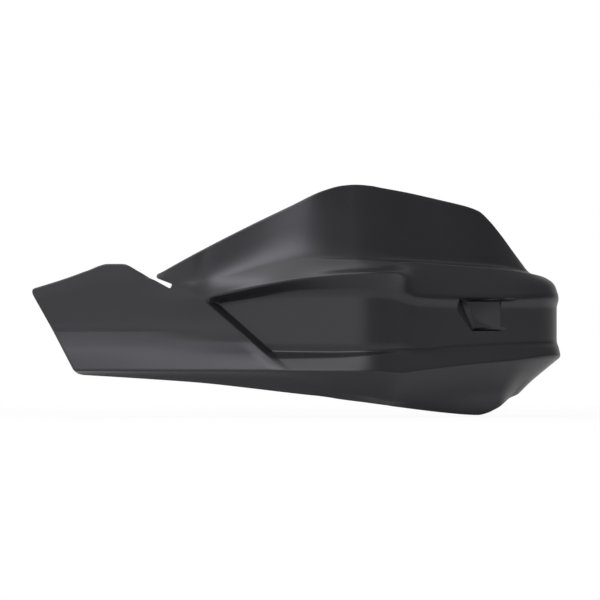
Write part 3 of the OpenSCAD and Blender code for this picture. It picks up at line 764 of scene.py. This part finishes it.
def moulded_plastic():
    m, tree = material("moulded_polypropylene_black")
    here = add(tree, "ShaderNodeTexCoord").outputs["Object"]
    grain = add(tree, "ShaderNodeTexNoise", Vector=here, Scale=1 / (GRAIN * MM), Detail=2.0, Roughness=0.6)
    flow = add(tree, "ShaderNodeTexNoise", Vector=here, Scale=1 / (FLOW * MM), Detail=2.0, Roughness=0.5)
    gloss = add(tree, "ShaderNodeMapRange", Value=flow.outputs["Fac"], From_Min=0.3, From_Max=0.7,
                To_Min=0.30, To_Max=0.36)
    tone = add(tree, "ShaderNodeMix", {"data_type": "RGBA"}, i0=flow.outputs["Fac"],
               i6=linear("#1b1b1e"), i7=linear("#202023"))
    bump = add(tree, "ShaderNodeBump", Height=grain.outputs["Fac"], Strength=0.25, Distance=0.05 * MM)
    shader = add(tree, "ShaderNodeBsdfPrincipled", Base_Color=tone.outputs[2], Roughness=gloss,
                 IOR=1.49, Normal=bump)
    finish_material(tree, shader)
    return m


plastic = moulded_plastic()
print("made", plastic.name)

# %% [markdown]
# ### Turned brass
# The inserts are turned from free-cutting brass and left bare. Fine rings from the tool
# run round them, a few hundredths of a millimetre apart; they are drawn about 1.6 mm
# apart, which is 2 pi times the named size. Wide, faint stains change the gloss.


# %% Make the brass
TOOL_RING, STAIN = 0.25, 3
WAVE_UNIT = 20


def turned_brass():
    m, tree = material("turned_brass")
    here = add(tree, "ShaderNodeTexCoord").outputs["Object"]
    rings_at = add(tree, "ShaderNodeTexWave", {"bands_direction": "Y"}, Vector=here,
                   Scale=1 / (WAVE_UNIT * TOOL_RING * MM), Distortion=0.4)
    stain = add(tree, "ShaderNodeTexNoise", Vector=here, Scale=1 / (STAIN * MM), Detail=3.0)
    gloss = add(tree, "ShaderNodeMapRange", Value=stain.outputs["Fac"], From_Min=0.3, From_Max=0.7,
                To_Min=0.24, To_Max=0.4)
    tone = add(tree, "ShaderNodeMix", {"data_type": "RGBA"}, i0=stain.outputs["Fac"],
               i6=linear("#d3ab57"), i7=linear("#b98f42"))
    bump = add(tree, "ShaderNodeBump", Height=rings_at.outputs["Fac"], Strength=0.3, Distance=0.02 * MM)
    shader = add(tree, "ShaderNodeBsdfPrincipled", Base_Color=tone.outputs[2], Metallic=1.0,
                 Roughness=gloss, Normal=bump)
    finish_material(tree, shader)
    return m


brass = turned_brass()
print("made", brass.name)

# %% [markdown]
# ## Turned forms
# The bosses and the inserts are turned forms, and each comes three times, so one tree of
# Geometry Nodes makes them all. It reads a profile, a plain line of points whose x is a
# radius and whose y is a height, and copies it round the axis on a grid. Named attributes
# on the profile say where the form is knurled, threaded, or follows a sloping wall.


# %% Helpers for node trees
def new_tree(name, numbers):
    """A Geometry Nodes tree with named number inputs and one material input."""
    tree = bpy.data.node_groups.new(name, "GeometryNodeTree")
    tree.interface.new_socket("Geometry", in_out="INPUT", socket_type="NodeSocketGeometry")
    tree.interface.new_socket("Geometry", in_out="OUTPUT", socket_type="NodeSocketGeometry")
    tree.interface.new_socket("Finish", in_out="INPUT", socket_type="NodeSocketMaterial")
    sockets = {tuple: "NodeSocketVector", int: "NodeSocketInt", float: "NodeSocketFloat"}
    for label, value in numbers.items():
        made = tree.interface.new_socket(label, in_out="INPUT", socket_type=sockets[type(value)])
        made.default_value = value
    return tree, tree.nodes.new("NodeGroupInput").outputs


def end_tree(tree, geometry, finish):
    """Ends a tree in plain geometry with its material."""
    real = add(tree, "GeometryNodeRealizeInstances", Geometry=geometry)
    dressed = add(tree, "GeometryNodeSetMaterial", Geometry=real, Material=finish)
    tree.links.new(dressed.outputs[0], tree.nodes.new("NodeGroupOutput").inputs[0])


def grow(thing, tree, **values):
    """Runs a tree on an object and keeps the result as its plain mesh."""
    m = thing.modifiers.new(tree.name, "NODES")
    m.node_group = tree
    for item in tree.interface.items_tree:
        key = item.name.replace(" ", "_")
        if item.in_out == "INPUT" and key in values:
            m[item.identifier] = values[key]
    thing.update_tag()
    ready = thing.evaluated_get(bpy.context.evaluated_depsgraph_get())
    mesh = bpy.data.meshes.new_from_object(ready)
    thing.modifiers.remove(m)
    thing.data = mesh
    return thing


# %% Write the tree for turned forms
MATH = "ShaderNodeMath"
MARKS = ("knurled", "threaded", "on_wall")
JOIN = 1e-6


def turned_tree():
    """Lays a grid round the axis: rows follow the profile, columns the turn."""
    tree, given = new_tree("turned_form", {
        "Rows": 2, "Steps": 64, "Place": (0.0, 0.0, 0.0), "Slope": 0.0, "Knurls": 24, "Knurl Pitch": MM,
        "Knurl Depth": 0.0, "Thread Pitch": MM, "Thread Depth": 0.0})
    across = add(tree, MATH, {"operation": "ADD"}, i0=given["Steps"], i1=1)
    grid = add(tree, "GeometryNodeMeshGrid", Vertices_X=given["Rows"], Vertices_Y=across)
    index = add(tree, "GeometryNodeInputIndex")
    rows_up = add(tree, MATH, {"operation": "DIVIDE"}, i0=index, i1=across)
    row = add(tree, MATH, {"operation": "FLOOR"}, i0=rows_up)
    step = add(tree, MATH, {"operation": "MODULO"}, i0=index, i1=across)
    turn = add(tree, MATH, {"operation": "DIVIDE"}, i0=step, i1=given["Steps"])
    at = add(tree, "GeometryNodeSampleIndex", {"data_type": "FLOAT_VECTOR", "domain": "POINT"},
             Geometry=given["Geometry"], Value=add(tree, "GeometryNodeInputPosition"), Index=row)
    profile = add(tree, "ShaderNodeSeparateXYZ", Vector=at).outputs
    read = {}
    for name in MARKS:
        mark = add(tree, "GeometryNodeInputNamedAttribute", {"data_type": "FLOAT"}, Name=name)
        read[name] = add(tree, "GeometryNodeSampleIndex", {"data_type": "FLOAT", "domain": "POINT"},
                         Geometry=given["Geometry"], Value=mark, Index=row)
    around = add(tree, MATH, {"operation": "MULTIPLY"}, i0=turn, i1=given["Knurls"])
    up = add(tree, MATH, {"operation": "DIVIDE"}, i0=profile["Y"], i1=given["Knurl Pitch"])
    waves = []
    for way in ("ADD", "SUBTRACT"):
        slant = add(tree, MATH, {"operation": way}, i0=around, i1=up)
        waves.append(add(tree, MATH, {"operation": "PINGPONG"}, i0=slant, i1=0.5))
    least = add(tree, MATH, {"operation": "MINIMUM"}, i0=waves[0], i1=waves[1])
    least = add(tree, MATH, {"operation": "MULTIPLY_ADD"}, i0=least, i1=2, i2=-1)
    pyramid = add(tree, MATH, {"operation": "MULTIPLY"}, i0=least, i1=read["knurled"])
    pyramid = add(tree, MATH, {"operation": "MULTIPLY"}, i0=pyramid, i1=given["Knurl Depth"])
    turns_up = add(tree, MATH, {"operation": "DIVIDE"}, i0=profile["Y"], i1=given["Thread Pitch"])
    helix = add(tree, MATH, {"operation": "ADD"}, i0=turns_up, i1=turn)
    groove = add(tree, MATH, {"operation": "PINGPONG"}, i0=helix, i1=0.5)
    groove = add(tree, MATH, {"operation": "MULTIPLY"}, i0=groove, i1=read["threaded"])
    twice = add(tree, MATH, {"operation": "MULTIPLY"}, i0=given["Thread Depth"], i1=2)
    radius = add(tree, MATH, {"operation": "ADD"}, i0=profile["X"], i1=pyramid)
    radius = add(tree, MATH, {"operation": "MULTIPLY_ADD"}, i0=groove, i1=twice, i2=radius)
    angle = add(tree, MATH, {"operation": "MULTIPLY"}, i0=turn, i1=math.tau)
    cosine = add(tree, MATH, {"operation": "COSINE"}, i0=angle)
    sine = add(tree, MATH, {"operation": "SINE"}, i0=angle)
    x = add(tree, MATH, {"operation": "MULTIPLY"}, i0=radius, i1=cosine)
    z = add(tree, MATH, {"operation": "MULTIPLY"}, i0=radius, i1=sine)
    rise = add(tree, MATH, {"operation": "MULTIPLY"}, i0=given["Slope"], i1=read["on_wall"])
    y = add(tree, MATH, {"operation": "MULTIPLY_ADD"}, i0=x, i1=rise, i2=profile["Y"])
    where = add(tree, "ShaderNodeCombineXYZ", X=x, Y=y, Z=z)
    moved = add(tree, "ShaderNodeVectorMath", {"operation": "ADD"}, i0=where, i1=given["Place"])
    shaped = add(tree, "GeometryNodeSetPosition", Geometry=grid.outputs["Mesh"], Position=moved)
    closed = add(tree, "GeometryNodeMergeByDistance", Geometry=shaped, Distance=JOIN)
    end_tree(tree, closed, given["Finish"])
    return tree


turned = turned_tree()


def turn_form(name, profile, marks, **values):
    """Runs the tree on a closed profile; marks gives each named attribute's value at each point."""
    profile = [*profile, profile[0]]
    thing = mesh_of(name, [(r, h, 0) for r, h in profile], [])
    for key in MARKS:
        values_of = marks.get(key, [0.0] * (len(profile) - 1))
        data = thing.data.attributes.new(key, "FLOAT", "POINT").data
        for k, value in enumerate([*values_of, values_of[0]]):
            data[k].value = value
    grow(thing, turned, Rows=len(profile), **values)
    face_outwards(thing)
    return thing


print("tree for turned forms:", len(turned.nodes), "nodes")

# %% [markdown]
# ## Bosses, gussets and the long rib
# On the hidden side the moulding carries three screw bosses. Each leaves the wall with a
# small fillet and ends in a chamfered mouth with a stepped hole. Two gussets stiffen each
# boss, and one long rib ties two of the bosses together behind the panel. The gussets
# repeat, so they are instances on points; the rib follows the wall, so it is a line of
# points pushed into a sheet and then given its thickness, again by nodes.

# %% Turn the bosses
BOSS_D = 13
INSERT_D, INSERT_LEN, INSERT_BORE, INSERT_GAP = 8, 10, 5, 0.05
SCREW_ROOM, SCREW_GAP = 3, 0.5
FILLET, FILLET_STEPS, SUNK = 2, 6, 1.4
CHAMFER, EDGE = 0.6, 0.2
boss_places = {"outer": OUTER_BOSS, "middle": MIDDLE_BOSS, "inner": INNER_BOSS}


def boss(name, s):
    """One boss with its stepped hole; the points at its base follow the sloping wall."""
    r, hole, room = BOSS_D / 2, INSERT_D / 2 + INSERT_GAP, INSERT_BORE / 2 + SCREW_GAP
    base = [(r + FILLET * (1 - math.sin(a)), FILLET * (1 - math.cos(a)) - BOSS_LEN)
            for a in (math.pi / 2 * k / FILLET_STEPS for k in range(FILLET_STEPS + 1))]
    base = [(0, -BOSS_LEN - SUNK), (base[0][0], -BOSS_LEN - SUNK), *base]
    rest = [(r, -CHAMFER), (r - CHAMFER / 4, -EDGE), (r - CHAMFER, 0), (hole + EDGE, 0), (hole, -EDGE),
            (hole, -INSERT_LEN), (room, -INSERT_LEN), (room, -INSERT_LEN - SCREW_ROOM),
            (0, -INSERT_LEN - SCREW_ROOM)]
    on_wall = [1.0] * len(base) + [0.0] * len(rest)
    slope = math.tan(float(heading(np.array(float(s)))))
    return turn_form("boss_" + name, base + rest, {"on_wall": on_wall}, Steps=64,
                     Place=tuple((mouth(s) - home) * MM), Finish=plastic, Slope=slope)


bosses = [boss(k, s) for k, s in boss_places.items()]
print([len(b.data.polygons) for b in bosses], "faces on the bosses")

# %% Write the tree for the gussets
GUSSET_T, GUSSET_RISE, GUSSET_NEAR, GUSSET_UP, GUSSET_IN = 2, UP - 1, 5, 0.5, 1
MOULD_EDGE, EDGE_ANGLE = 0.35, 50


def thicken(tree, sheet, thickness):
    """Gives a flat sheet its thickness, half of it to either side."""
    push = add(tree, "ShaderNodeCombineXYZ", Z=thickness)
    thick = add(tree, "GeometryNodeExtrudeMesh", {"mode": "FACES"}, Mesh=sheet, Offset=push,
                Offset_Scale=1.0, Individual=False)
    back = add(tree, "GeometryNodeFlipFaces", Mesh=sheet)
    solid = add(tree, "GeometryNodeJoinGeometry")
    for side in (thick, back):
        tree.links.new(side.outputs[0], solid.inputs[0])
    closed = add(tree, "GeometryNodeMergeByDistance", Geometry=solid, Distance=JOIN)
    half = add(tree, MATH, {"operation": "MULTIPLY"}, i0=thickness, i1=-0.5)
    drop = add(tree, "ShaderNodeCombineXYZ", Z=half)
    return add(tree, "GeometryNodeTransform", Geometry=closed, Translation=drop)


def gusset_tree():
    """Two plates at each point: one stands above the boss and one below."""
    tree, given = new_tree("gussets", {
        "Thickness": 0.0, "Near": 0.0, "Top": 0.0, "Foot": 0.0, "Rise": 0.0, "Height": 0.0})
    near = add(tree, MATH, {"operation": "MULTIPLY"}, i0=given["Near"], i1=-1)
    far = add(tree, MATH, {"operation": "MULTIPLY"}, i0=given["Height"], i1=-1)
    corners = [add(tree, "ShaderNodeCombineXYZ", X=x, Y=y) for x, y in (
        (near, given["Foot"]), (near, given["Top"]), (far, given["Rise"]), (far, given["Foot"]))]
    outline = add(tree, "GeometryNodeCurvePrimitiveQuadrilateral", {"mode": "POINTS"},
                  Point_1=corners[0], Point_2=corners[1], Point_3=corners[2], Point_4=corners[3])
    flat = add(tree, "GeometryNodeFillCurve", {"mode": "NGONS"}, Curve=outline)
    plate = thicken(tree, flat, given["Thickness"])
    upright_plate = add(tree, "GeometryNodeTransform", Geometry=plate,
                        Rotation=(math.pi / 2, 0, math.pi / 2))
    sides = add(tree, "GeometryNodeJoinGeometry")
    for turn in (0, math.pi):
        placed = add(tree, "GeometryNodeInstanceOnPoints", Points=given["Geometry"],
                     Instance=upright_plate, Rotation=(0, turn, 0))
        tree.links.new(placed.outputs[0], sides.inputs[0])
    end_tree(tree, sides, given["Finish"])
    return tree


def soften(thing):
    """Bevels a thing's hard edges, as a mould's own edges are."""
    m = thing.modifiers.new("soft edges", "BEVEL")
    m.width, m.segments = MOULD_EDGE * MM, 2
    m.limit_method, m.angle_limit = "ANGLE", math.radians(EDGE_ANGLE)
    with bpy.context.temp_override(object=thing, active_object=thing):
        bpy.ops.object.modifier_apply(modifier=m.name)


gussets = mesh_of("gussets", [mouth(s) - home for s in boss_places.values()], [])
grow(gussets, gusset_tree(), Finish=plastic, Thickness=GUSSET_T * MM, Near=GUSSET_NEAR * MM,
     Top=(BOSS_D / 2 + GUSSET_UP) * MM, Foot=(BOSS_D / 2 - GUSSET_IN) * MM, Rise=GUSSET_RISE * MM,
     Height=(BOSS_LEN + SUNK) * MM)
face_outwards(gussets)
soften(gussets)
print("gussets:", len(gussets.data.polygons), "faces")

# %% Write the tree for the long rib
RIB_T, RIB_DEPTH, RIB_FROM, RIB_TO = 2, 8, -66, 92
RIB_STEP, RIB_RUN_OUT, RIB_END = 2.0, 16, 0.12


def rib_tree():
    """Pushes a line of points into the guard's hollow side and thickens the sheet that it leaves."""
    tree, given = new_tree("long_rib", {"Thickness": 0.0})
    into = add(tree, "GeometryNodeInputNamedAttribute", {"data_type": "FLOAT_VECTOR"}, Name="into")
    sheet = add(tree, "GeometryNodeExtrudeMesh", {"mode": "EDGES"}, Mesh=given["Geometry"], Offset=into,
                Offset_Scale=1.0)
    end_tree(tree, thicken(tree, sheet, given["Thickness"]), given["Finish"])
    return tree


def long_rib():
    """The rib follows the middle of the wall and runs out at both ends."""
    s = np.arange(RIB_FROM, RIB_TO + 1, RIB_STEP)
    depth = RIB_DEPTH * ramp(np.minimum(s - RIB_FROM, RIB_TO - s) / RIB_RUN_OUT + RIB_END)
    line = mid_wall(s) - home[:2]
    into = mid_wall(s, depth) - home[:2] - line
    mesh = bpy.data.meshes.new("long_rib")
    mesh.from_pydata([(x * MM, y * MM, 0) for x, y in line], [(k, k + 1) for k in range(len(s) - 1)], [])
    data = mesh.attributes.new("into", "FLOAT_VECTOR", "POINT").data
    for k, (x, y) in enumerate(into):
        data[k].vector = (x * MM, y * MM, 0)
    thing = bpy.data.objects.new("long_rib", mesh)
    bpy.context.collection.objects.link(thing)
    grow(thing, rib_tree(), Finish=plastic, Thickness=RIB_T * MM)
    face_outwards(thing)
    soften(thing)
    return thing


rib = long_rib()
print("rib:", len(rib.data.polygons), "faces")

# %% [markdown]
# ### One moulding
# The guard is one piece of plastic. What stands on its hidden side is united with the
# wall first, so that no faces stay inside it, and then the recess and the slot are cut.


# %% Unite the moulding and cut it
def bare(thing):
    """Removes what the trees left on a mesh, so that joined meshes match."""
    layers = thing.data.attributes
    for name in [a.name for a in layers if a.name in (*MARKS, "into")]:
        layers.remove(layers[name])
    thing.data.materials.clear()
    return thing


for part in (*bosses, gussets, rib):
    bare(part)
for part in (backing, rib, gussets, *bosses):
    boolean(shell, part, "UNION")
for tool in (*cutters, slot):
    boolean(shell, tool, "DIFFERENCE")
print("moulding: %.1f cm3, %d open edges" % face_outwards(shell), len(shell.data.polygons), "faces")

# %% Finish the shell
SHELL_SHARP, INSERT_SHARP = 38, 30


def smooth(thing, sharp_from):
    """Smooth shading, with edges kept sharp from this angle on."""
    for polygon in thing.data.polygons:
        polygon.use_smooth = True
    thing.data.set_sharp_from_angle(angle=math.radians(sharp_from))


shell.data.materials.clear()
shell.data.materials.append(plastic)
smooth(shell, SHELL_SHARP)
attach(shell, "root")
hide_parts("shell")
print("shell finished in", plastic.name)

# %% [markdown]
# ## The inserts
# A threaded insert is turned from brass bar. Two knurled bands grip the plastic, a groove
# between them locks it lengthwise, and its bore has an M6 thread with a 1 mm pitch. The
# same tree turns it; only the profile and its marks are new.


# %% Turn the inserts
KNURLS, KNURL_DEPTH, THREAD_DEPTH, PITCH = 24, 0.22, 0.45, 1.0
BAND_SHARE, GROOVE, END_BEVEL, BORE_LAND, TIP_PLAIN = 0.4, 0.5, 0.3, 0.5, 0.8
KNURL_ROWS, THREAD_ROWS, TURN_STEPS = 24, 64, 96


def insert(name, s):
    """One insert; each row of its profile is a radius, a height, and whether it is knurled or threaded."""
    r, bore, band = INSERT_D / 2, INSERT_BORE / 2, INSERT_LEN * BAND_SHARE
    first_band = np.linspace(END_BEVEL, band, KNURL_ROWS)
    second_band = np.linspace(INSERT_LEN - band, INSERT_LEN - TIP_PLAIN, KNURL_ROWS)
    rows = [(bore + BORE_LAND, 0, 0, 0), (r - END_BEVEL, 0, 0, 0)]
    rows += [(r, -h, 1, 0) for h in first_band]
    rows += [(r - GROOVE, -band - GROOVE, 0, 0), (r - GROOVE, -INSERT_LEN + band + GROOVE, 0, 0)]
    rows += [(r, -h, 1, 0) for h in second_band]
    rows += [(r - CHAMFER, -INSERT_LEN, 0, 0), (bore + BORE_LAND, -INSERT_LEN, 0, 0)]
    rows += [(bore, -h, 0, 1) for h in np.linspace(INSERT_LEN - BORE_LAND, BORE_LAND, THREAD_ROWS)]
    marks = {"knurled": [float(q[2]) for q in rows], "threaded": [float(q[3]) for q in rows]}
    thing = turn_form(name + "_turned", [q[:2] for q in rows], marks, Finish=brass, Steps=TURN_STEPS,
                      Place=tuple((mouth(s) - home) * MM), Knurls=KNURLS, Knurl_Pitch=PITCH * MM,
                      Knurl_Depth=KNURL_DEPTH * MM, Thread_Pitch=PITCH * MM, Thread_Depth=THREAD_DEPTH * MM)
    smooth(thing, INSERT_SHARP)
    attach(thing, "root")
    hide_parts(name)
    return thing


inserts = [insert("insert_" + k, s) for k, s in boss_places.items()]
print([len(i.data.polygons) for i in inserts], "faces on the inserts")

# %% [markdown]
# ## Floor and light
# A pale floor lies under the guard. The world is a studio in soft zones, each with its
# own level: bright at the left and brighter far left, dark at the right, dim above but
# bright overhead at the left, and half as bright behind. Camera rays see plain white
# instead. One soft box hangs high at the left, and its reflection runs along the flap.

# %% Build the floor
FLOOR_SIZE, FLOOR_GAP = 30.0, 0.5
SHADE_NEAR, SHADE_FAR, SHADE_WHITE = 0.2, 1.2, 0.9
square = np.array([(-1, -1, 0), (1, -1, 0), (1, 1, 0), (-1, 1, 0)]) * FLOOR_SIZE / 2 / MM
floor = mesh_of("floor", square + np.array([0, 0, low.z / MM - FLOOR_GAP]), [(0, 1, 2, 3)])
pale, tree = material("pale_floor")
path = add(tree, "ShaderNodeLightPath")
here = add(tree, "ShaderNodeTexCoord").outputs["Object"]
reach = add(tree, "ShaderNodeVectorMath", {"operation": "LENGTH"}, i0=here).outputs["Value"]
white_from = add(tree, "ShaderNodeMapRange", {"interpolation_type": "SMOOTHSTEP"}, Value=reach,
                 From_Min=SHADE_NEAR, From_Max=SHADE_FAR, To_Min=SHADE_WHITE, To_Max=1.0)
matt = add(tree, "ShaderNodeBsdfDiffuse", Color=linear("#e4e4e4"))
glow = add(tree, "ShaderNodeEmission", Color=linear("#ffffff"), Strength=1.0)
share = add(tree, MATH, {"operation": "MULTIPLY"}, i0=path.outputs["Is Camera Ray"], i1=white_from)
both = add(tree, "ShaderNodeMixShader", i0=share, i1=matt, i2=glow)
finish_material(tree, both)
floor.data.materials.append(pale)

# %% Set the world
LEFT, RIGHT, ABOVE, OVERHEAD, FAR_LEFT, BEHIND = 1.4, 0.1, 0.36, 2.2, 2.2, 0.55
# Each zone: the limits between which it sets in, along the axes of the direction, and its level.
zones = (
    ((("X", -0.25, 0.2),), RIGHT),
    ((("Z", 0.1, 0.45),), ABOVE),
    ((("Z", 0.75, 0.95), ("X", 0.3, -0.05)), OVERHEAD),
    ((("X", -0.45, -0.8), ("Z", 0.6, 0.3)), FAR_LEFT),
    ((("Y", 0.5, 0.8),), BEHIND))
world = bpy.data.worlds.new("studio")
bpy.context.scene.world = world
world.use_nodes = True
tree = world.node_tree
tree.nodes.clear()
path = add(tree, "ShaderNodeLightPath")
direction = add(tree, "ShaderNodeTexCoord")
split = add(tree, "ShaderNodeSeparateXYZ", Vector=direction.outputs["Generated"])
strength = LEFT
for limits, radiance in zones:
    mask = 1.0
    for axis, out_of, into in limits:
        first, last = (0.0, 1.0) if into > out_of else (1.0, 0.0)
        edge = add(tree, "ShaderNodeMapRange", {"interpolation_type": "SMOOTHSTEP"},
                   Value=split.outputs[axis], From_Min=min(out_of, into), From_Max=max(out_of, into),
                   To_Min=first, To_Max=last)
        mask = add(tree, MATH, {"operation": "MULTIPLY"}, i0=edge, i1=mask)
    strength = add(tree, "ShaderNodeMix", {"data_type": "FLOAT"}, i0=mask, i2=strength, i3=radiance)
studio = add(tree, "ShaderNodeBackground", Color=linear("#ffffff"), Strength=strength)
white = add(tree, "ShaderNodeBackground", Color=linear("#ffffff"), Strength=1.0)
choose = add(tree, "ShaderNodeMixShader", i0=path.outputs["Is Camera Ray"], i1=studio, i2=white)
out = tree.nodes.new("ShaderNodeOutputWorld")
tree.links.new(choose.outputs[0], out.inputs["Surface"])


# %% Hang the lamps
def lamp(name, azimuth, elevation, distance, width, height, radiance, colour):
    """Soft box of a given radiance, placed round the guard. Azimuth 0 is in front of the guard."""
    a, e = math.radians(azimuth), math.radians(elevation)
    way = Vector((math.sin(a) * math.cos(e), -math.cos(a) * math.cos(e), math.sin(e)))
    light = bpy.data.lights.new(name, "AREA")
    light.shape, light.size, light.size_y = "RECTANGLE", width, height
    light.energy = radiance * width * height * math.pi
    light.color = linear(colour)[:3]
    thing = bpy.data.objects.new(name, light)
    thing.location = middle + way * distance
    thing.rotation_euler = (-way).to_track_quat("-Z", "Y").to_euler()
    bpy.context.collection.objects.link(thing)


lamp("key_box", -30, 45, 1.6, 1.3, 0.5, 5.5, "#f6f4ff")
bpy.context.scene.view_settings.view_transform = "Standard"
